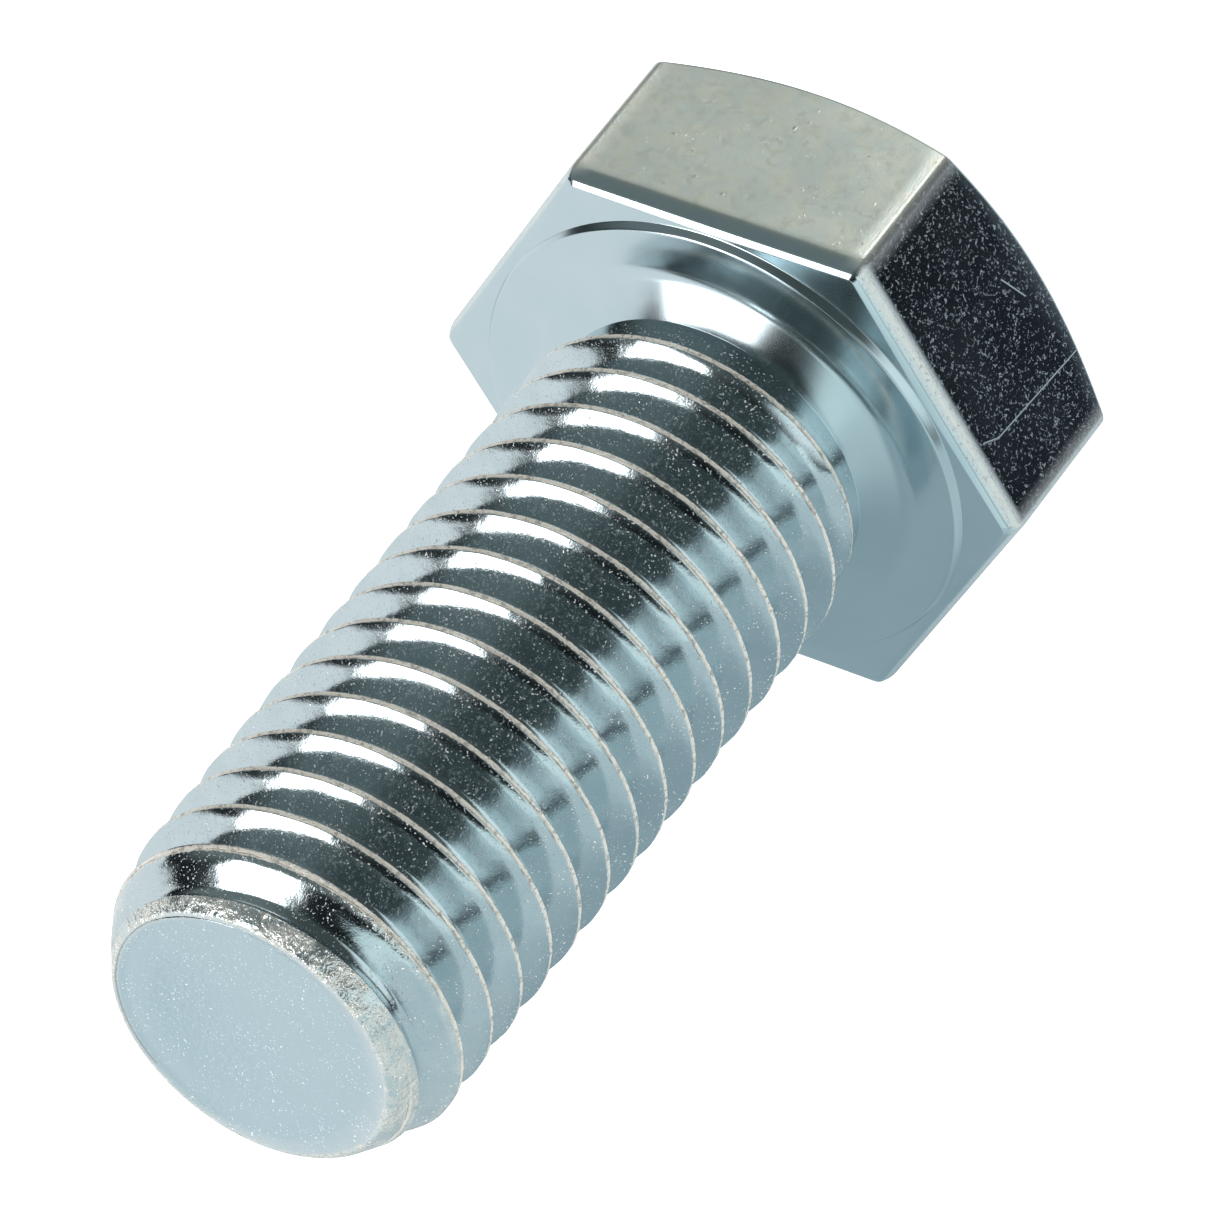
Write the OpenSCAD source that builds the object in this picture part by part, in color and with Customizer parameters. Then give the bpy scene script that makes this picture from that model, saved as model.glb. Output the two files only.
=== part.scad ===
// Hexagon head bolt, threaded to the head, with a cupped cone point.
//
// The bolt's axis is the X axis. The bearing face lies in the plane x = 0, the head runs
// back to -X and the shank runs forward to +X. Two flats of the head face up and down (+Z
// and -Z) and two of its corners point along +Y and -Y.
//
// The real bolt is one forged and rolled piece. Each node here is one of its regions, and
// the regions meet face to face on planes square to the axis.

/* [Thread] */
// Diameter over the thread crests
major_d = 15.75; // [15.50:0.01:15.85]
// Threads in each inch of length
threads_per_inch = 11; // [10:1:13]
// Turns over which the thread grows to full depth below the head
runout_turns = 0.7; // [0.5:0.1:2.5]

/* [Shank] */
// Length from the bearing face to the end of the point
length = 37.6; // [30:0.1:60]
// Plain neck between the bearing face and the first thread groove
neck_length = 1.2; // [1.2:0.1:4]
// Diameter at which the flare of the neck leaves the bearing face
flare_d = 17.7; // [16.4:0.1:18.4]
// Height of the flare above the bearing face
flare_h = 0.95; // [0.4:0.05:1.1]

/* [Head] */
// Width across two opposite flats
across_flats = 23.6; // [23.0:0.05:23.85]
// Height from the bearing face to the top of the head
head_height = 9.9; // [9.6:0.05:10.25]
// Angle of the chamfer round the top of the head
chamfer_angle = 30; // [20:1:35]
// Diameter of the flat circle on top, as a share of the width across flats
top_circle_share = 0.91; // [0.85:0.01:0.96]
// Diameter of the washer face
washer_face_d = 22.2; // [21.2:0.1:22.8]
// Height of the washer face
washer_face_t = 0.4; // [0.15:0.05:0.5]

/* [Point] */
// Diameter of the end of the point
point_d = 12.6; // [12.0:0.1:13.0]
// Angle between the cone of the point and the axis
point_angle = 30; // [25:1:45]
// Depth of the cup in the end of the point
cup_depth = 0.7; // [0.2:0.05:1.0]
// Width of the flat rim round the cup
rim_w = 0.45; // [0.2:0.05:0.8]

/* [Quality] */
// Straight steps in one turn of the thread
thread_steps = 60; // [36:6:72]

/* [Hidden] */
// 60 degree inch thread: depth and crest width as shares of the pitch.
pitch = 25.4 / threads_per_inch;
thread_depth = 0.61343 * pitch;
crest_w = pitch / 8;
flank_run = thread_depth * tan(30);
crest_r = major_d / 2;
root_r = crest_r - thread_depth;
// The blank is rolled, so the neck has the pitch radius: metal pushed out of the groove
// stands above it as the crest.
neck_r = crest_r - thread_depth * 0.55;

corner_r = across_flats / 2 / cos(30);
top_circle_r = across_flats / 2 * top_circle_share;
washer_face_r = washer_face_d / 2;
// The flare and the root of the neck fill the washer face's ring up to this radius.
flare_r = flare_d / 2;

// The thread stops this far from the end, where its groove has run out on the cone.
point_t = pitch / 2;
point_x = length - point_t;
// Turns over which the groove fades into the cone.
point_fade_turns = 0.5;

// Axial places of the profile's corners in one turn: root end, crest start, crest end,
// root start.
profile_x = [0, flank_run, flank_run + crest_w, 2 * flank_run + crest_w];
first_x = neck_length + pitch / 20;
last_x = point_x - pitch / 20;
// Near its end the helix closes up, so that its last groove runs out just short of the
// point and not a whole turn before it.
closing_w = pitch * 0.6;
closing_x = last_x - closing_w;
steps = floor((length - pitch * 0.22 - first_x) / pitch * thread_steps);
step_angle = 360 / thread_steps;
// Angle about the axis at which the thread starts, which sets where the crests stand.
start_angle = 10;

finish = [0.72, 0.77, 0.79];
round_fn = 120;

// 0 before 0, 1 after 1, and an even ramp with soft ends between.
function smooth(t) = let (u = max(0, min(1, t))) u * u * (3 - 2 * u);
function mix(a, b, t) = a + (b - a) * t;

// Radius of the outside at axial place x: the crests, cut down by the cone of the point.
function outer_r(x) = min(crest_r, point_d / 2 + (length - x) * tan(point_angle));

// Radius of the thread at axial place x for a profile corner of full radius r, a number of
// turns after its groove or crest starts and before it ends. It grows out of the neck and
// dies into the cone of the point.
function thread_r(x, r, turns_in, turns_left) =
    let (grown = mix(neck_r, r, smooth(turns_in / runout_turns)))
    min(mix(outer_r(x), grown, smooth(turns_left / point_fade_turns)), outer_r(x));

// Axial place x on an even helix, closed up near the point.
function closed_up(x) =
    x < closing_x ? x : last_x - closing_w * exp((closing_x - x) / closing_w);

function at(x, r, angle) = [x, r * cos(angle), r * sin(angle)];

// Vertex of profile corner k at step g along the helix. Corners 1 and 2 are on the crest.
// The groove after corner 3 is the one before corner 0 a turn later, so both count its
// turns alike.
function thread_point(g, k) =
    let (
        x = closed_up(first_x + pitch * g / thread_steps + profile_x[k]),
        on_crest = k == 1 || k == 2,
        turns_in = g / thread_steps - (k == 0 ? 1 : 0),
        turns_left = on_crest ? 1 : (steps - g) / thread_steps - (k == 3 ? 1 : 0)
    )
    at(
        x,
        thread_r(x, on_crest ? crest_r : root_r, turns_in, turns_left),
        start_angle + step_angle * g
    );

// Vertex numbers: the profile corners come first, then the ring at each end.
function corner(g, k) = 4 * g + k;
function head_ring(g) = 4 * (steps + 1) + g % thread_steps;
function point_ring(g) = head_ring(0) + thread_steps + g % thread_steps;

// The four-sided patch a-b-c-d as two triangles.
function patch(a, b, c, d) = [[a, b, c], [a, c, d]];

// A fan of triangles from one vertex over a line of vertices.
function fan(apex, line) =
    [for (i = [0 : len(line) - 2]) [apex, line[i], line[i + 1]]];

function flat(lists) = [for (list = lists) for (item = list) item];

// Turns a profile of [radius, x] points about the X axis.
module turned(profile) {
    rotate([90, 0, 90])
        rotate_extrude($fn = round_fn)
            polygon(profile);
}

module hex_head() {
    chamfer_drop = (corner_r - top_circle_r) * tan(chamfer_angle);
    color(finish)
        intersection() {
            translate([-head_height, 0, 0])
                rotate([90, 0, 90])
                    cylinder(r = corner_r, h = head_height - washer_face_t, $fn = 6);
            turned([
                [0, -head_height],
                [top_circle_r, -head_height],
                [corner_r, chamfer_drop - head_height],
                [corner_r + 1, chamfer_drop - head_height],
                [corner_r + 1, 0],
                [0, 0]
            ]);
        }
}

module washer_face() {
    color(finish)
        turned([
            [flare_r, -washer_face_t],
            [washer_face_r, -washer_face_t],
            [washer_face_r, 0],
            [flare_r, 0]
        ]);
}

module neck() {
    color(finish)
        turned([
            [0, -washer_face_t],
            [flare_r, -washer_face_t],
            [flare_r, 0],
            [neck_r, flare_h],
            [neck_r, neck_length],
            [0, neck_length]
        ]);
}

module thread() {
    corners = flat([for (g = [0 : steps]) [for (k = [0 : 3]) thread_point(g, k)]]);
    head_end = [for (g = [0 : thread_steps - 1])
        at(neck_length, neck_r, start_angle + step_angle * g)];
    point_end = [for (g = [0 : thread_steps - 1])
        at(point_x, outer_r(point_x), start_angle + step_angle * g)];

    flanks_and_crest = flat([for (g = [0 : steps - 1]) for (k = [0 : 2])
        patch(corner(g, k), corner(g, k + 1), corner(g + 1, k + 1), corner(g + 1, k))]);
    root = flat([for (g = [0 : steps - thread_steps - 1])
        patch(
            corner(g, 3),
            corner(g + thread_steps, 0),
            corner(g + thread_steps + 1, 0),
            corner(g + 1, 3)
        )]);

    // Bands that close the helix onto the round ends. Each has a fan where the thread's
    // own profile starts or stops.
    head_band = flat([for (g = [0 : thread_steps - 2])
        patch(head_ring(g), corner(g, 0), corner(g + 1, 0), head_ring(g + 1))]);
    head_fan = fan(corner(thread_steps - 1, 0), [
        corner(thread_steps, 0), corner(0, 3), corner(0, 2), corner(0, 1),
        corner(0, 0), head_ring(0), head_ring(thread_steps - 1)
    ]);
    band_start = steps - thread_steps;
    point_band = flat([for (g = [band_start + 1 : steps - 1])
        patch(corner(g, 3), point_ring(g), point_ring(g + 1), corner(g + 1, 3))]);
    point_fan = fan(corner(band_start + 1, 3), [
        corner(band_start, 3), corner(steps, 0), corner(steps, 1), corner(steps, 2),
        corner(steps, 3), point_ring(steps), point_ring(band_start + 1)
    ]);
    caps = [
        [for (g = [0 : thread_steps - 1]) head_ring(g)],
        [for (g = [thread_steps - 1 : -1 : 0]) point_ring(g)]
    ];

    color(finish)
        polyhedron(
            points = concat(corners, head_end, point_end),
            faces = concat(
                flanks_and_crest, root, head_band, head_fan, point_band, point_fan, caps
            ),
            convexity = 10
        );
}

module point() {
    rim_r = point_d / 2 - rim_w;
    // The wall of the cup slopes in at 45 degrees to most of the depth, and the floor is
    // a little dished.
    wall_depth = cup_depth * 0.75;
    color(finish)
        turned([
            [0, point_x],
            [outer_r(point_x), point_x],
            [point_d / 2, length],
            [rim_r, length],
            [rim_r - wall_depth, length - wall_depth],
            [0, length - cup_depth]
        ]);
}

hex_head();
washer_face();
neck();
thread();
point();
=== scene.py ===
"""Looks for the hex bolt: rolled thread, forged head and blue-white zinc plating.

Lengths in this script are in millimetres along the CAD axes, unless a name says otherwise.
The bolt's axis is X: the head is behind x = 0 and the shank runs forward from it.
"""

from math import atan2, cos, floor, pi, radians, sin, sqrt, tan

import bmesh
import bpy
from mathutils import Matrix, Vector, noise


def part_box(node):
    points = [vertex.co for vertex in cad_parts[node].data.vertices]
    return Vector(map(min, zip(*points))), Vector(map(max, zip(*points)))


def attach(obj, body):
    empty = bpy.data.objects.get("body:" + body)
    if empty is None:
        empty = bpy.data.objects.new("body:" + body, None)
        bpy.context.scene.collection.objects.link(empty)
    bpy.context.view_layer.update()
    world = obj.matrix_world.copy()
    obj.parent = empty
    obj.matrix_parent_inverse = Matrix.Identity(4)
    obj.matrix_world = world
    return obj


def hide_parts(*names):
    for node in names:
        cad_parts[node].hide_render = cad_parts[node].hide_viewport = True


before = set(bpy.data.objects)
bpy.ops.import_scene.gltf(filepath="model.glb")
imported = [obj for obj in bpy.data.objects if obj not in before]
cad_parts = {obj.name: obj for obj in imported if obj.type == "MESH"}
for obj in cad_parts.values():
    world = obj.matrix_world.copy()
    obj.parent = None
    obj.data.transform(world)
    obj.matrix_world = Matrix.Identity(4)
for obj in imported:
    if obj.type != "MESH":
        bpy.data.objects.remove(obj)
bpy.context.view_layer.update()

MM = 0.001
# Vertices closer than this, in metres, are one.
SAME_PLACE = 2e-7
# Columns stop at this radius instead of on the axis.
AXIS_R = 0.001

# Corners of the CAD nodes' boxes, in metres.
head_low, head_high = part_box("hex_head")
washer_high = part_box("washer_face")[1]
neck_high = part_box("neck")[1]
thread_low, thread_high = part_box("thread")
point_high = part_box("point")[1]

HEAD_TOP_X = head_low[0] / MM
UNDERSIDE_X = head_high[0] / MM
HALF_FLATS = head_high[2] / MM
WASHER_R = washer_high[2] / MM
CREST_R = round(thread_high[2] / MM, 2)
NECK_END_X = thread_low[0] / MM
LENGTH = point_high[0] / MM

# The thread: 11 turns to the inch, with flanks at 60 degrees to each other. From the end of
# the neck, a small gap, one flank and half a crest lead to the middle of the first crest.
PITCH = 25.4 / 11
DEPTH = 0.61343 * PITCH
START_ANGLE = radians(10)
GROOVE_GAP = PITCH / 20
FIRST_CREST_X = NECK_END_X + GROOVE_GAP + PITCH / 16 + DEPTH * tan(radians(30))
# The thread grows out of the neck over this many turns, and has already grown for some of
# them where its first crest stands.
RUNOUT_TURNS = 0.9
TURNS_BEFORE = 0.45

# The neck and its flare.
NECK_R = CREST_R - 0.55 * DEPTH
FLARE_R = neck_high[2] / MM
FLARE_H = 0.95
# How late the neck rises to the first crest: a power of the share of the way there.
NECK_RISE_POWER = 5

# The head's top and its rounded corners.
TOP_CIRCLE_R = HALF_FLATS * 0.91
CHAMFER_SLOPE = tan(radians(30))
CORNER_ROUND = 0.5

# The point: the radius of its end, and how much its tip and then its cone rise for each
# millimetre from the end. The cone's own line meets the end at a larger radius.
END_R = 6.3
TIP_SLOPE = 1.2
TIP_ROUND = 0.12
CONE_START_R = END_R + 0.12
CONE_SLOPE = 0.53
# The helix stops this far before the end.
HELIX_STOP = 0.35
# The last groove is this much wider than the others.
LAST_GROOVE_EXTRA = 0.22
# The step inside the cup is deepest at this angle round the axis.
STEP_ANGLE = radians(-25)
CUP_DEPTH = 0.66
CUP_ROWS = 10


def clamp(value, low=0.0, high=1.0):
    return max(low, min(high, value))


def smooth(t):
    t = clamp(t)
    return t * t * (3 - 2 * t)


def mix(a, b, t):
    return a + (b - a) * t


def soft_min(a, b, width):
    """The smaller of two numbers, with the change from one to the other rounded."""
    t = clamp(0.5 + (b - a) / (2 * width))
    return mix(b, a, t) - width * t * (1 - t)


# ---------------------------------------------------------------- mesh helpers


def rounded(corners, reaches, steps=6):
    """A 2-D line with each inner corner turned into a curve. A reach is how far from the
    corner its curve starts and ends."""
    out = [corners[0]]
    for before, here, after, reach in zip(corners, corners[1:], corners[2:], reaches):
        p = Vector(here)
        a = p + (Vector(before) - p).normalized() * reach
        b = p + (Vector(after) - p).normalized() * reach
        for i in range(steps + 1):
            t = i / steps
            q = a * (1 - t) ** 2 + p * (2 * t * (1 - t)) + b * t * t
            out.append((q.x, q.y))
    out.append(corners[-1])
    return out


def refined(line, cuts):
    """The line with each segment cut into a given number of parts."""
    out = [line[0]]
    for a, b, count in zip(line, line[1:], cuts):
        for i in range(1, count + 1):
            out.append((mix(a[0], b[0], i / count), mix(a[1], b[1], i / count)))
    return out


def at(x, r, angle):
    """The point at axial place x and radius r, in metres."""
    return (x * MM, r * cos(angle) * MM, r * sin(angle) * MM)


def new_piece(name, verts, faces, material):
    """A smooth piece that rides the bolt's one body."""
    mesh = bpy.data.meshes.new(name)
    mesh.from_pydata(verts, [], faces)
    built = bmesh.new()
    built.from_mesh(mesh)
    bmesh.ops.remove_doubles(built, verts=built.verts, dist=SAME_PLACE)
    bmesh.ops.recalc_face_normals(built, faces=built.faces)
    built.to_mesh(mesh)
    built.free()
    mesh.shade_smooth()
    mesh.materials.append(material)
    obj = bpy.data.objects.new(name, mesh)
    bpy.context.collection.objects.link(obj)
    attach(obj, "root")
    return obj


def grid_faces(columns, rows, closed):
    """Quads over a grid of vertices stored column by column."""
    faces = []
    for c in range(columns if closed else columns - 1):
        after = (c + 1) % columns
        for r in range(rows - 1):
            a = c * rows + r
            b = after * rows + r
            faces.append((a, a + 1, b + 1, b))
    return faces


def paint(obj, name, value_of):
    """Stores a number from 0 to 1 on every vertex, for a material to read."""
    layer = obj.data.attributes.new(name, "FLOAT", "POINT")
    values = [value_of(v.co / MM, v.normal) for v in obj.data.vertices]
    layer.data.foreach_set("value", values)


# ---------------------------------------------------------------- thread shape

CREST_HALF = PITCH / 17
CREST_ROUND = 0.06
SEAM_DEPTH = 0.06
ROOT_ROUND = 0.30
# A flank rises this much for each millimetre along the axis.
STEEP = sqrt(3)
# Radii at which the straight flanks would meet over a crest and under a root.
FLANK_R = CREST_R + STEEP * CREST_HALF
VEE_R = FLANK_R - STEEP * PITCH / 2
# Axial distances from the middle of a crest: the end of its seam and of its rounded edge.
CREST_FLAT = CREST_HALF - CREST_ROUND / STEEP
CREST_EDGE = CREST_FLAT + CREST_ROUND * STEEP / 2
# Axial distance from the middle of a root to the end of its round.
ROOT_REACH = ROOT_ROUND * STEEP / 2
# The rolls leave the crests uneven by up to this much.
RAGGED_HEIGHT = 0.03


def full_thread_r(t):
    """Radius at axial distance t from the middle of a crest, where the thread is full: a
    crest with a shallow rolling seam, a straight flank and a round root."""
    if t < CREST_FLAT:
        return CREST_R - SEAM_DEPTH * (0.5 + 0.5 * cos(pi * t / CREST_FLAT))
    if t < CREST_EDGE:
        return CREST_R - CREST_ROUND + sqrt(CREST_ROUND**2 - (t - CREST_FLAT) ** 2)
    to_root = PITCH / 2 - t
    if to_root > ROOT_REACH:
        return FLANK_R - STEEP * t
    return VEE_R + 2 * ROOT_ROUND - sqrt(ROOT_ROUND**2 - to_root**2)


def with_neck(r, x, turns):
    """The radius r, or more where the neck rises over its own radius on its way up to the
    first crest."""
    turns = (turns + TURNS_BEFORE) % 1 - TURNS_BEFORE
    crest_x = FIRST_CREST_X + PITCH * turns
    if not FLARE_H < x < crest_x:
        return r
    height = (CREST_R - NECK_R) * smooth((turns + TURNS_BEFORE) / RUNOUT_TURNS)
    rise = height * ((x - FLARE_H) / (crest_x - FLARE_H)) ** NECK_RISE_POWER
    return mix(max(r, NECK_R + rise), r, smooth((turns - 0.2) / 0.3))


def shank_r(x, turns):
    """Radius of the shank at axial place x, this many turns round from the start."""
    drawn = LAST_GROOVE_EXTRA * smooth(x - LENGTH + 2.0)
    along = (x - drawn - FIRST_CREST_X) / PITCH - turns
    off_crest = along - floor(along + 0.5)
    # How far along the helix this place is, in turns, even round each crest.
    side = 0.5 if off_crest > 0 else -0.5
    wound = along - off_crest + turns + side * smooth((abs(off_crest) - 0.08) / 0.42)
    full = full_thread_r(abs(off_crest) * PITCH)
    r = mix(NECK_R, full, smooth((wound + TURNS_BEFORE) / RUNOUT_TURNS))
    r = with_neck(r, x, turns)
    near_crest = smooth(1 - abs(off_crest) * 6)
    angle = 2 * pi * turns
    ragged = noise.noise(Vector((cos(angle) * 9, sin(angle) * 9, x * 1.5)))
    r += RAGGED_HEIGHT * near_crest * ragged
    # The cone of the point, rounded down to its thin end.
    cone = CONE_START_R + (LENGTH - x) * CONE_SLOPE
    cone = soft_min(cone, END_R + (LENGTH - x) * TIP_SLOPE, TIP_ROUND)
    return soft_min(r, cone, 0.05)


def turn_offsets():
    """Axial places of the rows in one turn, from root to root, closest at the bends."""
    shoulder = PITCH / 2 - CREST_EDGE
    edge = PITCH / 2 - CREST_FLAT
    half = [ROOT_REACH * i / 5 for i in range(5)]
    half += [mix(ROOT_REACH, shoulder, i / 4) for i in range(4)]
    half += [mix(shoulder, edge, i / 2) for i in range(2)]
    half += [mix(edge, PITCH / 2, i / 2) for i in range(2)]
    return half + [PITCH / 2] + [PITCH - h for h in reversed(half)]


def point_line(start, angle):
    """One column of the point's end, as (radius, x) from a start on the cone: a thin rim, a
    step that is deeper on one side, and the dished floor of the cup."""
    deep = 0.5 + 0.5 * cos(angle - STEP_ANGLE)
    step_r = END_R - mix(0.45, 1.5, deep * deep)
    step_x = LENGTH - mix(0.10, 0.26, deep)
    line = rounded(
        [
            start,
            (END_R, LENGTH),
            (END_R - 0.2, LENGTH - 0.02),
            (step_r, step_x),
            (step_r - 1.0, step_x - 0.05),
        ],
        [0.12, 0.06, 0.3],
        steps=4,
    )
    inner_r, inner_x = line[-1]
    for i in range(1, CUP_ROWS + 1):
        left = 1 - i / CUP_ROWS
        line.append((inner_r * left, mix(inner_x, LENGTH - CUP_DEPTH, 1 - left**2)))
    return line


def build_shank(material):
    """The thread and the point: one surface wound along the helix, and the end's columns."""
    columns = 180
    offsets = turn_offsets()
    first_x = FIRST_CREST_X - PITCH / 2
    steps = floor(((LENGTH - HELIX_STOP - first_x) / PITCH - 1) * columns)
    last_x = first_x + PITCH * (steps / columns + 1)
    verts = []
    # The rows follow the helix. In the first and the last turn they open out from, and
    # close up into, a plain ring.
    for g in range(-columns, steps + columns + 1):
        turns = g / columns
        angle = START_ANGLE + 2 * pi * turns
        for offset in offsets:
            if g < 0:
                x = first_x + offset * (turns + 1)
            elif g <= steps:
                x = first_x + PITCH * turns + offset
            else:
                x = last_x - (PITCH - offset) * (1 - (g - steps) / columns)
            verts.append(at(x, shank_r(x, turns), angle))
    faces = grid_faces(steps + 2 * columns + 1, len(offsets), closed=False)

    base = len(verts)
    rows = 0
    for c in range(columns):
        turns = (steps + c) / columns
        angle = START_ANGLE + 2 * pi * turns
        line = point_line((shank_r(last_x, turns), last_x), angle)
        rows = len(line)
        verts += [at(x, max(r, AXIS_R), angle) for r, x in line]
    end_faces = grid_faces(columns, rows, closed=True)
    faces += [tuple(base + i for i in face) for face in end_faces]
    shank = new_piece("shank", verts, faces, material)
    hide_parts("thread", "point")
    return shank


# ---------------------------------------------------------------- head shape


def head_columns():
    """Angles of the head's columns, crowded at the six rounded corners, each with the
    radius of the rounded hexagon there."""
    to_arc = (HALF_FLATS - CORNER_ROUND) / cos(pi / 6)
    arc = atan2(CORNER_ROUND * 0.5, to_arc + CORNER_ROUND * cos(pi / 6))
    arc_steps, flat_steps = ((10, 24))
    out = []
    for corner in range(6):
        middle = corner * pi / 3
        # Round the corner, then along the flat after it.
        for i in range(-arc_steps, arc_steps):
            a = arc * i / arc_steps
            r = to_arc * cos(a) + sqrt(CORNER_ROUND**2 - (to_arc * sin(a)) ** 2)
            out.append((middle + a, r))
        for i in range(flat_steps):
            a = mix(arc, pi / 3 - arc, i / flat_steps)
            out.append((middle + a, HALF_FLATS / cos(a - pi / 6)))
    return out


def head_profile(side_r):
    """One column of the head, from the middle of its top to the neck, as (radius, x)."""
    chamfer_x = HEAD_TOP_X + (side_r - TOP_CIRCLE_R) * CHAMFER_SLOPE
    return rounded(
        [
            (AXIS_R, HEAD_TOP_X),
            (TOP_CIRCLE_R, HEAD_TOP_X),
            (side_r, chamfer_x),
            (side_r, UNDERSIDE_X - 0.8),
            (side_r - 0.26, UNDERSIDE_X - 0.17),
            (side_r - 0.54, UNDERSIDE_X),
            (WASHER_R + 0.06, UNDERSIDE_X + 0.03),
            (WASHER_R - 0.12, -0.01),
            (FLARE_R, -0.01),
            (NECK_R, FLARE_H),
            (NECK_R, FIRST_CREST_X - PITCH / 2),
        ],
        [0.15, 0.15, 0.34, 0.10, 0.05, 0.05, 0.12, 0.4, 0.03],
    )


def build_head(material):
    """The head, the washer face and the flared neck, as one surface of columns."""
    columns = head_columns()
    # Every column is cut alike, in steps of about this length.
    row_step = 0.9
    plain = head_profile(HALF_FLATS)
    lengths = [(Vector(b) - Vector(a)).length for a, b in zip(plain, plain[1:])]
    cuts = [max(1, round(length / row_step)) for length in lengths]
    verts = []
    rows = 0
    for angle, side_r in columns:
        line = refined(head_profile(side_r), cuts)
        rows = len(line)
        verts += [at(x, r, angle) for r, x in line]
    head = new_piece("head", verts, grid_faces(len(columns), rows, closed=True), material)
    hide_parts("hex_head", "washer_face", "neck")
    return head


# ---------------------------------------------------------------- materials


class Nodes:
    """A node tree, with short ways to add and join nodes."""

    def __init__(self, tree):
        self.tree = tree

    def add(self, kind, **settings):
        node = self.tree.nodes.new(kind)
        for key, value in settings.items():
            setattr(node, key, value)
        return node

    def join(self, source, target):
        if hasattr(source, "is_output"):
            self.tree.links.new(source, target)
        else:
            target.default_value = source

    def ranged(self, value, low, high, to_low=0.0, to_high=1.0):
        """A soft ramp from one number to another, as the value goes from low to high."""
        node = self.add("ShaderNodeMapRange", interpolation_type="SMOOTHSTEP")
        for socket, number in zip(
            ("From Min", "From Max", "To Min", "To Max"), (low, high, to_low, to_high)
        ):
            self.join(number, node.inputs[socket])
        self.join(value, node.inputs["Value"])
        return node.outputs["Result"]

    def math(self, operation, a, b=0.0):
        node = self.add("ShaderNodeMath", operation=operation)
        self.join(a, node.inputs[0])
        self.join(b, node.inputs[1])
        return node.outputs[0]

    def mixed(self, share, a, b):
        node = self.add("ShaderNodeMix", data_type="RGBA")
        self.join(share, node.inputs["Factor"])
        for value, socket in ((a, node.inputs[6]), (b, node.inputs[7])):
            if isinstance(value, tuple):
                value = value + (1.0,)
            self.join(value, socket)
        return node.outputs[2]

    def parts(self, vector):
        node = self.add("ShaderNodeSeparateXYZ")
        self.join(vector, node.inputs[0])
        return node.outputs


class Zinc(Nodes):
    """A bright metal's material, with its patterns measured in millimetres on the bolt."""

    def __init__(self, name):
        self.material = bpy.data.materials.new(name)
        self.material.use_nodes = True
        super().__init__(self.material.node_tree)
        self.surface = self.tree.nodes["Principled BSDF"]
        self.surface.inputs["Metallic"].default_value = 1.0
        self.place = self.add("ShaderNodeTexCoord").outputs["Object"]

    def noise(self, size_mm, detail=2.0, roughness=0.5, distortion=0.0):
        node = self.add("ShaderNodeTexNoise")
        self.join(self.place, node.inputs["Vector"])
        for name, value in (
            ("Scale", 1 / (size_mm * MM)),
            ("Detail", detail),
            ("Roughness", roughness),
            ("Distortion", distortion),
        ):
            node.inputs[name].default_value = value
        return node.outputs["Fac"]

    def painted(self, name):
        """A number that paint() stored on the vertices."""
        return self.add("ShaderNodeAttribute", attribute_name=name).outputs["Fac"]

    def bump(self, height, depth_mm, strength, under=None):
        """Shades the surface as if a height from 0 to 1 raised it by a depth, on top of
        another bump where one is given."""
        node = self.add("ShaderNodeBump")
        self.join(height, node.inputs["Height"])
        self.join(strength, node.inputs["Strength"])
        node.inputs["Distance"].default_value = depth_mm * MM
        if under:
            self.join(under, node.inputs["Normal"])
        return node.outputs["Normal"]

    def off_crest(self):
        """How far a place is from the middle of the nearest crest along the axis, in
        millimetres: less than 0 on its head side."""
        x, y, z = self.parts(self.place)
        turns = self.math("DIVIDE", self.math("ARCTAN2", z, y), 2 * pi)
        turns = self.math("SUBTRACT", turns, START_ANGLE / (2 * pi))
        along = self.math("DIVIDE", self.math("SUBTRACT", x, FIRST_CREST_X * MM), PITCH * MM)
        along = self.math("SUBTRACT", along, turns)
        nearest = self.math("FLOOR", self.math("ADD", along, 0.5))
        return self.math("MULTIPLY", self.math("SUBTRACT", along, nearest), PITCH)

    def scratch(self, start, end, width_mm):
        """A straight mark between two places given in millimetres."""
        a = Vector(start) * MM
        b = Vector(end) * MM
        way = (b - a).normalized()

        def vector_math(operation, first, second, second_socket=1, output="Vector"):
            node = self.add("ShaderNodeVectorMath", operation=operation)
            self.join(first, node.inputs[0])
            self.join(second, node.inputs[second_socket])
            return node.outputs[output]

        from_start = vector_math("SUBTRACT", self.place, a)
        along = vector_math("DOT_PRODUCT", from_start, way, output="Value")
        along = self.math("MINIMUM", self.math("MAXIMUM", along, 0.0), (b - a).length)
        nearest = vector_math("SCALE", way, along, second_socket=3)
        miss = vector_math("SUBTRACT", from_start, nearest)
        miss = vector_math("LENGTH", miss, (0, 0, 0), output="Value")
        return self.ranged(miss, 0, width_mm * MM, 1, 0)


# Colours of zinc on the rolled shank, in its cup, and on the head away from its flats.
BRIGHT = (0.66, 0.74, 0.77)
BRIGHT_2 = (0.62, 0.71, 0.74)
CUP_BLUE = (0.54, 0.66, 0.71)
HEAD_BLUE = (0.62, 0.72, 0.755)
HEAD_BLUE_2 = (0.59, 0.70, 0.74)
# Colours of the flats: two of the creamy plating, its stains, and a darker blue where it is
# worn, partly painted shade.
CREAM = (0.74, 0.76, 0.68)
CREAM_2 = (0.70, 0.76, 0.72)
STAIN = (0.52, 0.53, 0.46)
WORN_AND_SHADED = (0.52, 0.56, 0.62)
# Colours of rolled or torn lips of metal, of painted glints on specks, and of painted shade
# in seams and pits.
LIP = (0.86, 0.82, 0.74)
LIP_SHADOW = (0.42, 0.39, 0.34)
PAINTED_GLINT = (0.92, 0.93, 0.92)
PAINTED_CREASE_SHADE = (0.28, 0.26, 0.23)

# Marks on one flat, each from one place to another with a width, in millimetres.
SCRATCHES = (
    ((-8.8, 12.05, 2.7), (-2.5, 11.87, 3.05), 0.06),
    ((-1.6, 11.65, 3.4), (-2.5, 11.87, 3.05), 0.05),
    ((-7.9, 10.3, 5.8), (-7.2, 9.6, 7.0), 0.04),
)


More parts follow.
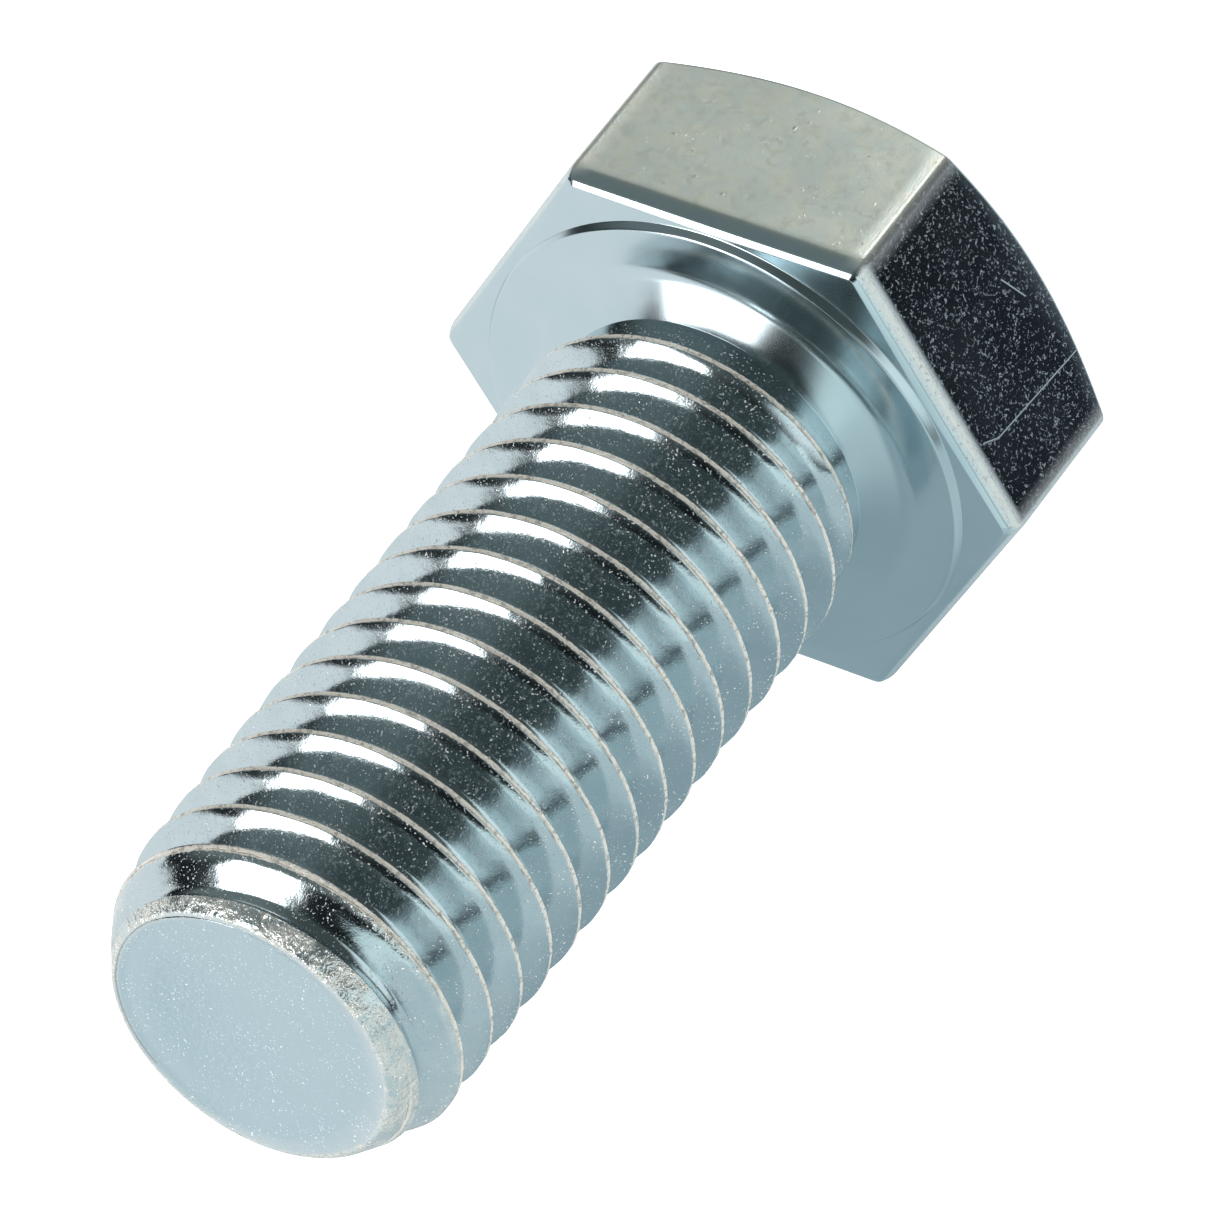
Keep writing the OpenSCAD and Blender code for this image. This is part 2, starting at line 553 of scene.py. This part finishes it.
def thread_zinc():
    """Bright rolled zinc, with dull crests, a torn edge round the point and a dented cup."""
    s = Zinc("zinc_thread")
    formed = s.painted("formed")
    cup = s.painted("cup")
    torn = s.painted("torn")
    blotches = s.noise(1.6, 3)
    grain = s.noise(0.09, 2, 0.6)
    wander = s.math("MULTIPLY", s.math("SUBTRACT", s.noise(0.3, 3, 0.7), 0.5), 0.16)
    off = s.math("ADD", s.off_crest(), wander)
    # A crest's dull band, and the dark seam a little to one side of its middle.
    crest = s.math("MULTIPLY", s.ranged(s.math("ABSOLUTE", off), 0.08, 0.14, 1, 0), formed)
    seam = s.math("ABSOLUTE", s.math("SUBTRACT", off, 0.04))
    seam = s.math("MULTIPLY", s.ranged(seam, 0.005, 0.035, 1, 0), formed)
    # Torn metal round the point comes in patches.
    torn = s.math("MULTIPLY", torn, s.ranged(s.noise(0.9, 3, 0.6), 0.40, 0.55, 0.35, 1))

    # Specks of plating, in drifts, which also carry painted glints.
    speck_drifts = s.ranged(s.noise(1.1, 2), 0.40, 0.60, 0.2, 1)
    specks_and_glints = s.math("MULTIPLY", s.ranged(s.noise(0.10, 1), 0.655, 0.70), speck_drifts)

    colour = s.mixed(s.ranged(blotches, 0.35, 0.65), BRIGHT, BRIGHT_2)
    # Painted glints: the specks take a pale colour.
    colour = s.mixed(specks_and_glints, colour, PAINTED_GLINT)
    colour = s.mixed(cup, colour, CUP_BLUE)
    lip = s.mixed(s.ranged(s.noise(0.24, 3, 0.7), 0.50, 0.64), LIP, LIP_SHADOW)
    colour = s.mixed(s.math("MULTIPLY", crest, 0.9), colour, lip)
    colour = s.mixed(s.math("MULTIPLY", torn, 0.6), colour, LIP)
    seam = s.math("MULTIPLY", seam, s.ranged(s.noise(0.8, 2), 0.40, 0.60, 0.1, 1))
    # Painted shade darkens the seam, in patches.
    colour = s.mixed(s.math("MULTIPLY", seam, 0.8), colour, PAINTED_CREASE_SHADE)
    s.join(colour, s.surface.inputs["Base Color"])

    rough = s.ranged(blotches, 0.3, 0.7, 0.09, 0.14)
    rough = s.math("ADD", rough, s.math("MULTIPLY", crest, 0.24))
    rough = s.math("ADD", rough, s.math("MULTIPLY", cup, 0.04))
    rough = s.math("ADD", rough, s.math("MULTIPLY", torn, 0.12))
    s.join(rough, s.surface.inputs["Roughness"])
    # Crests and torn metal are dull enough to show their own colour, and the specks dull
    # enough to show their painted glint.
    dull = s.math("MAXIMUM", s.math("MULTIPLY", crest, 0.40), s.math("MULTIPLY", torn, 0.20))
    dull = s.math("MAXIMUM", dull, s.math("MULTIPLY", specks_and_glints, 0.7))
    s.join(s.math("SUBTRACT", 1.0, dull), s.surface.inputs["Metallic"])

    coarse = s.math("MAXIMUM", crest, torn)
    normal = s.bump(s.noise(1.2, 2), 0.06, 0.30)
    normal = s.bump(grain, 0.03, s.ranged(coarse, 0, 1, 0.10, 0.9), normal)
    # In the cup the specks have no bump and are only painted glints.
    normal = s.bump(specks_and_glints, 0.05, s.ranged(cup, 0, 1, 0.8, 0), normal)
    normal = s.bump(s.noise(0.55, 3, 0.65), 0.35, s.math("MULTIPLY", torn, 0.9), normal)
    normal = s.bump(seam, -0.04, 0.8, normal)
    hammered = s.math("MULTIPLY", cup, s.ranged(s.noise(3.5, 1), 0.42, 0.58, 0.15, 0.6))
    normal = s.bump(s.noise(0.22, 2, 0.5), 0.06, hammered, normal)
    s.join(normal, s.surface.inputs["Normal"])
    return s.material


def head_zinc():
    """Bluish forged zinc, creamier on the flats, with pits, wear and scratches. Painted
    shade darkens the pits and the more worn flats.
    """
    s = Zinc("zinc_head")
    side = s.painted("side")
    edge = s.painted("edge")
    wear_and_shade = s.painted("wear_and_shade")
    blotches = s.noise(3.0, 3)
    tint = s.noise(1.5, 4, 0.6)
    colour = s.mixed(s.ranged(blotches, 0.3, 0.7), HEAD_BLUE, HEAD_BLUE_2)
    cream = s.mixed(s.ranged(tint, 0.38, 0.62), CREAM_2, CREAM)
    stains = s.ranged(s.noise(0.7, 5, 0.75, 0.5), 0.45, 0.70, 0, 0.35)
    cream = s.mixed(stains, cream, STAIN)
    # The more worn flats take a darker blue: painted shade as well as wear.
    cream = s.mixed(wear_and_shade, cream, WORN_AND_SHADED)
    colour = s.mixed(side, colour, cream)
    # Short pits where the plating is thin, darkened with painted shade.
    pits = s.ranged(s.noise(0.28, 2, 0.55, 1.2), 0.67, 0.75)
    pitted = s.math("MULTIPLY", pits, side)
    colour = s.mixed(s.math("MULTIPLY", pitted, 0.40), colour, PAINTED_CREASE_SHADE)
    colour = s.mixed(s.math("MULTIPLY", edge, 0.5), colour, LIP)
    s.join(colour, s.surface.inputs["Base Color"])

    rough = s.ranged(blotches, 0.3, 0.7, 0.15, 0.19)
    rough = s.math("SUBTRACT", rough, s.math("MULTIPLY", wear_and_shade, 0.05))
    rough = s.math("ADD", rough, s.math("MULTIPLY", edge, 0.20))
    s.join(rough, s.surface.inputs["Roughness"])
    # Rubbed edges are dull enough to show their own colour.
    metallic = s.math("SUBTRACT", 1.0, s.math("MULTIPLY", edge, 0.35))
    s.join(metallic, s.surface.inputs["Metallic"])

    marks = None
    for start, end, width in SCRATCHES:
        mark = s.scratch(start, end, width)
        marks = s.math("MAXIMUM", marks, mark) if marks else mark

    grain = s.noise(0.10, 3, 0.65)
    normal = s.bump(grain, 0.03, s.ranged(edge, 0, 1, 0.03, 0.9))
    strokes = s.ranged(s.noise(0.16, 2, 0.6, 0.8), 0.62, 0.70)
    strokes = s.math("MULTIPLY", strokes, wear_and_shade)
    normal = s.bump(strokes, 0.07, 0.9, normal)
    normal = s.bump(pits, 0.02, s.math("MULTIPLY", side, 0.2), normal)
    normal = s.bump(s.noise(1.8, 2), 0.05, s.math("MULTIPLY", side, 0.10), normal)
    s.join(s.bump(marks, -0.03, 0.8, normal), s.surface.inputs["Normal"])
    return s.material


# ---------------------------------------------------------------- the object


def formed_at(p, normal):
    """Where the rolls formed full crests: clear of the neck, the cone and the cup."""
    past_neck = smooth((p.x - 1.4) / 1.2)
    outside_cup = smooth((p.yz.length - END_R - 0.15) / 0.1)
    before_end = smooth((LENGTH - 0.6 - p.x) / 0.4)
    return past_neck * outside_cup * before_end


def cup_at(p, normal):
    """The cup in the end of the point."""
    return (p.x > LENGTH - 0.8) * smooth((END_R - 0.25 - p.yz.length) / 0.2)


def torn_at(p, normal):
    """The torn metal: high on the cone, on the rim of the end, and a little on the crests
    of the last turn."""
    to_end = LENGTH - p.x
    r = p.yz.length
    above_cone = smooth((r - END_R - 0.05 - to_end * CONE_SLOPE) / 0.06)
    on_cone = above_cone * smooth((1.5 - to_end) / 0.3)
    on_rim = smooth((0.5 - to_end) / 0.2) * smooth((r - END_R + 0.22) / 0.12)
    on_last_turn = smooth(1.4 - abs(2.9 - to_end) / 0.8) * smooth((r - CREST_R + 0.2) / 0.1)
    return max(on_cone, on_rim, 0.7 * on_last_turn)


# How worn each flat is, counted round from the +Y corner. The same share also darkens a flat
# as painted shade.
FLAT_WEAR_AND_SHADE = (1.0, 0.0, 0.7, 0.5, 0.9, 0.6)
CORNER_R = HALF_FLATS / cos(pi / 6)


def flat_wear_and_shade(p):
    return FLAT_WEAR_AND_SHADE[floor(atan2(p.z, p.y) / (pi / 3)) % 6]


def on_flat(p):
    """How surely a place is out at one of the flats, and not further in on the head's top
    or underside."""
    across = abs(atan2(p.z, p.y) % (pi / 3) - pi / 6)
    reach = p.yz.length * cos(across)
    return smooth((reach - HALF_FLATS + 0.3) / 0.2)


def side_at(p, normal):
    """The flats themselves, without their rounded edges."""
    return on_flat(p) * smooth((0.35 - abs(normal.x)) / 0.2)


# The flats' wear, which also sets their painted shade.
def wear_and_shade_at(p, normal):
    return on_flat(p) * flat_wear_and_shade(p)


def edge_at(p, normal):
    """The rubbed edges: those between two flats, and those round each flat's ends, which
    are wider on a worn flat."""
    corner = smooth((p.yz.length - CORNER_R + 0.38) / 0.25)
    end = smooth((abs(normal.x) - mix(0.5, 0.1, flat_wear_and_shade(p))) / 0.25)
    return max(0.45 * corner, on_flat(p) * end)


shank = build_shank(thread_zinc())
paint(shank, "formed", formed_at)
paint(shank, "cup", cup_at)
paint(shank, "torn", torn_at)

head = build_head(head_zinc())
paint(head, "side", side_at)
paint(head, "wear_and_shade", wear_and_shade_at)
paint(head, "edge", edge_at)


# ---------------------------------------------------------------- studio

WHITE = (1.0, 1.0, 1.0)
BLACK = (0.0, 0.0, 0.0)
STUDIO_WHITE = (1.0, 0.98, 0.95)
TABLE_PALE = (0.86, 0.90, 0.91)
TABLE_DIM = (0.56, 0.67, 0.70)
TABLE_STRIP = (0.78, 0.94, 0.95)
TABLE_END = (0.02, 0.025, 0.035)
ROOM_GREY = (0.17, 0.20, 0.20)
ROOM_DARK = (0.06, 0.075, 0.075)
ROOM_BLACK = (0.008, 0.011, 0.012)
SHADE_BLUE = (0.28, 0.38, 0.42)

# Cards stand this far from a place on the bolt's axis and face it, in metres.
CARD_DISTANCE = 0.5
CARD_AIM = Vector((0.008, 0, 0))


def emitter(name, strength, colour):
    material = bpy.data.materials.new(name)
    material.use_nodes = True
    tree = material.node_tree
    tree.nodes.clear()
    glow = tree.nodes.new("ShaderNodeEmission")
    glow.inputs["Color"].default_value = (*colour, 1)
    glow.inputs["Strength"].default_value = strength
    out = tree.nodes.new("ShaderNodeOutputMaterial")
    tree.links.new(glow.outputs[0], out.inputs["Surface"])
    return material


def stage(name, verts, faces, material):
    """A piece of the studio, which isn't part of the bolt."""
    mesh = bpy.data.meshes.new(name)
    mesh.from_pydata(verts, [], faces)
    mesh.materials.append(material)
    obj = bpy.data.objects.new(name, mesh)
    bpy.context.collection.objects.link(obj)
    return obj


def panel(name, wide, high, soft, strength, colour, cover=1.0, hides=False):
    """A flat sheet of light in its own XY plane, which thins out toward its edges over the
    soft share of its size. Sizes are in metres. It adds its light to what is behind it, and
    may hide that by as much as it covers."""
    material = bpy.data.materials.new(name)
    material.use_nodes = True
    s = Nodes(material.node_tree)
    s.tree.nodes.clear()
    place = s.parts(s.add("ShaderNodeTexCoord").outputs["Object"])
    w = wide / 2
    h = high / 2
    covers = [
        s.ranged(s.math("ABSOLUTE", place[i]), half * (1 - soft), half, sqrt(cover), 0)
        for i, half in enumerate((w, h))
    ]
    covered = s.math("MULTIPLY", *covers)
    glow = s.add("ShaderNodeEmission")
    glow.inputs["Color"].default_value = (*colour, 1)
    s.join(s.math("MULTIPLY", covered, strength), glow.inputs["Strength"])
    clear = s.add("ShaderNodeBsdfTransparent")
    if hides:
        s.join(s.mixed(covered, WHITE, BLACK), clear.inputs["Color"])
    both = s.add("ShaderNodeAddShader")
    s.join(clear.outputs[0], both.inputs[0])
    s.join(glow.outputs[0], both.inputs[1])
    out = s.add("ShaderNodeOutputMaterial")
    s.join(both.outputs[0], out.inputs["Surface"])
    corners = [(-w, -h, 0), (w, -h, 0), (w, h, 0), (-w, h, 0)]
    obj = stage(name, corners, [(0, 1, 2, 3)], material)
    obj.visible_camera = False
    obj.visible_shadow = False
    return obj


def card(name, azimuth, height, wide, high, strength, colour=WHITE, soft=0.3):
    """A card facing the bolt, seen only in reflections and as a light. Its place is an
    azimuth from +X toward +Y and a height, and its size is an angle each way, in degrees."""
    width = 2 * CARD_DISTANCE * tan(radians(wide / 2))
    length = 2 * CARD_DISTANCE * tan(radians(high / 2))
    obj = panel(name, width, length, soft, strength, colour)
    azimuth = radians(azimuth)
    height = radians(height)
    towards = Vector((cos(azimuth) * cos(height), sin(azimuth) * cos(height), sin(height)))
    obj.location = CARD_AIM + towards * CARD_DISTANCE
    obj.rotation_euler = towards.to_track_quat("Z", "Y").to_euler()
    return obj


def floor_material():
    material = bpy.data.materials.new("floor")
    material.use_nodes = True
    surface = material.node_tree.nodes["Principled BSDF"]
    surface.inputs["Base Color"].default_value = (0.9, 0.9, 0.9, 1)
    surface.inputs["Roughness"].default_value = 0.9
    surface.inputs["Specular IOR Level"].default_value = 0.0
    surface.inputs["Emission Color"].default_value = (1, 1, 1, 1)
    surface.inputs["Emission Strength"].default_value = 0.82
    return material


# The floor is a disc under the lowest flat, and the backdrop a wall round it. The wall
# stands just inside the disc's edge, so that no gap shows between them.
FLOOR_Z = -HALF_FLATS * MM
FLOOR_R = 1.5
WALL_R = 1.49
WALL_TOP_Z = 1.5
STUDIO_SIDES = 96


def ring(radius, z):
    angles = [2 * pi * i / STUDIO_SIDES for i in range(STUDIO_SIDES)]
    return [(radius * cos(angle), radius * sin(angle), z) for angle in angles]


disc = tuple(range(STUDIO_SIDES))
ground = stage("floor", ring(FLOOR_R, FLOOR_Z), [disc], floor_material())
wall_faces = []
for i in disc:
    after = (i + 1) % STUDIO_SIDES
    wall_faces.append((i, after, STUDIO_SIDES + after, STUDIO_SIDES + i))
wall_verts = ring(WALL_R, FLOOR_Z) + ring(WALL_R, WALL_TOP_Z)
wall = stage("backdrop", wall_verts, wall_faces, emitter("backdrop", 1.0, WHITE))
# The bolt mirrors the world's softer light and not the bare floor and wall.
ground.visible_glossy = False
wall.visible_glossy = False
wall.visible_diffuse = False
wall.visible_shadow = False

# The table is darker close under the bolt, and only reflections show that.
shade = panel("shade", 0.06, 0.036, 0.6, 1.0, SHADE_BLUE, cover=0.85, hides=True)
shade.location = (0.014, 0.004, FLOOR_Z + 0.0001)
shade.visible_diffuse = False

# Each card's name, azimuth, height, size across, size up, strength and colour.
card("soft_low", -21, 18, 32, 36, 4.0, soft=0.2)
card("soft_high", -166, 46, 17, 18, 3.0)
card("soft_wide", -146, 42, 28, 36, 0.32, (1.0, 1.0, 0.95))
card("soft_right", 74, 16, 98, 48, 1.0, (0.84, 0.96, 0.97), soft=0.6)
card("soft_back", 180, 12, 50, 22, 0.9, (1.0, 0.98, 0.93))

world = bpy.data.worlds.new("studio")
bpy.context.scene.world = world
world.use_nodes = True
w = Nodes(world.node_tree)
sky = w.parts(w.add("ShaderNodeTexCoord").outputs["Generated"])
sky_y = sky[1]
sky_z = sky[2]
# A pale table below the horizon, which dims toward +Y. On that side its far part is a
# brighter strip, and past that it is dark.
table = w.mixed(w.ranged(sky_y, -0.45, 0.40), TABLE_PALE, TABLE_DIM)
strip = w.math("MULTIPLY", w.ranged(sky_z, -0.27, -0.17), w.ranged(sky_y, -0.05, 0.15))
table = w.mixed(strip, table, TABLE_STRIP)
far = w.math("MULTIPLY", w.ranged(sky_y, 0.60, 0.76), w.ranged(sky_z, -0.22, -0.12))
table = w.mixed(far, table, TABLE_END)
# A dark room above the table, darkest low down.
room = w.mixed(w.ranged(sky_y, -0.3, 0.3), ROOM_GREY, ROOM_DARK)
room = w.mixed(w.ranged(sky_z, 0.15, 0.65), ROOM_BLACK, room)
# The table's far edge stands a little higher on the -Y side.
tilt = w.math("MULTIPLY", w.math("MINIMUM", sky_y, 0.0), 0.1)
above_edge = w.ranged(w.math("ADD", sky_z, tilt), -0.04, 0.01)
light = w.mixed(above_edge, table, room)
# Dull metal gets the even light of the whole white studio.
diffuse = w.add("ShaderNodeLightPath").outputs["Is Diffuse Ray"]
light = w.mixed(diffuse, light, STUDIO_WHITE)
w.join(light, world.node_tree.nodes["Background"].inputs["Color"])
bpy.context.scene.view_settings.view_transform = "Standard"

# ---------------------------------------------------------------- camera

# The photo's viewing angle: an azimuth from -Y toward +X, a height, and a roll.
CAMERA_AZIMUTH = radians(123.2)
CAMERA_HEIGHT = radians(44.1)
CAMERA_ROLL = radians(-4.9)
CAMERA_DISTANCE = 0.4394
CAMERA_LENS = 322.5
CAMERA_AIM = Vector((11.55, 1.35, 1.22)) * MM

back = Vector((
    sin(CAMERA_AZIMUTH) * cos(CAMERA_HEIGHT),
    -cos(CAMERA_AZIMUTH) * cos(CAMERA_HEIGHT),
    sin(CAMERA_HEIGHT),
))
lens = bpy.data.cameras.new("camera")
lens.lens = CAMERA_LENS
lens.sensor_width = 36
lens.clip_start = 0.01
lens.clip_end = 10
camera = bpy.data.objects.new("camera", lens)
bpy.context.collection.objects.link(camera)
camera.location = CAMERA_AIM + back * CAMERA_DISTANCE
facing = back.to_track_quat("Z", "Y").to_matrix()
camera.rotation_euler = (facing @ Matrix.Rotation(CAMERA_ROLL, 3, "Z")).to_euler()
bpy.context.scene.camera = camera
